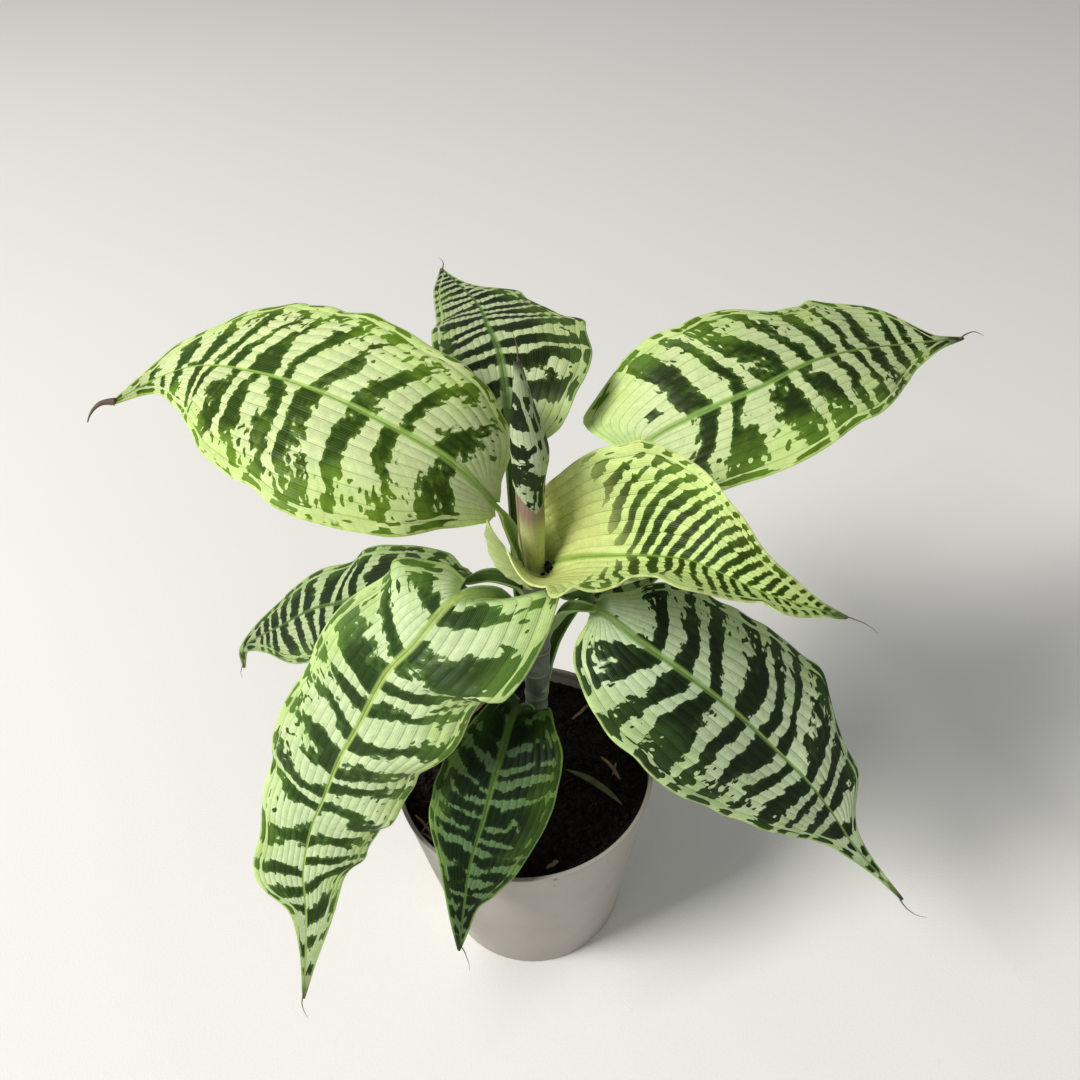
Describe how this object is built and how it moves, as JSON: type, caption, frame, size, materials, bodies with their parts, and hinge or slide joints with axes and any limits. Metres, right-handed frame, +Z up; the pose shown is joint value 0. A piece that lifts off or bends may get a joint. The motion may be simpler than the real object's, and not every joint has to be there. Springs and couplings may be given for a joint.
{
  "type": "potted dracaena",
  "caption": "Young potted dracaena with broad zebra-banded leaves on one upright stem, in a small tapered plastic nursery pot.",
  "frame": {"origin": "centre of the pot's flat underside, on the surface the pot stands on", "axes": "+Z up along the pot's axis; +X to the right and +Y away from the side the picture was taken from"},
  "size_m": [0.3577, 0.2836, 0.322],
  "materials": {
    "pot": "smooth taupe grey plastic, faintly dusty",
    "soil": "dark moist peat with fibres, matt",
    "stem": "grey-green stem, satin",
    "leaf_dark": "silver-green with dark green crossbands, slight gloss",
    "leaf_light": "pale cream-green with mid-green crossbands, slight gloss",
    "spear_sheath": "yellow-green flushed brownish pink, satin",
    "spear_blade": "dark green speckled with silver, slight gloss"
  },
  "bodies": {
    "root": {"pot": "pot", "soil": "soil", "stem": "stem", "leaf_lower_front": "leaf_dark", "leaf_lower_back": "leaf_dark", "leaf_upper_back": "leaf_dark", "leaf_lower_right": "leaf_dark", "leaf_upper_right": "leaf_light", "leaf_lower_left": "leaf_dark", "leaf_left_back": "leaf_dark", "leaf_upper_left": "leaf_light", "leaf_funnel": "leaf_light", "spear_sheath": "spear_sheath", "spear_blade": "spear_blade"}
  },
  "joints": []
}
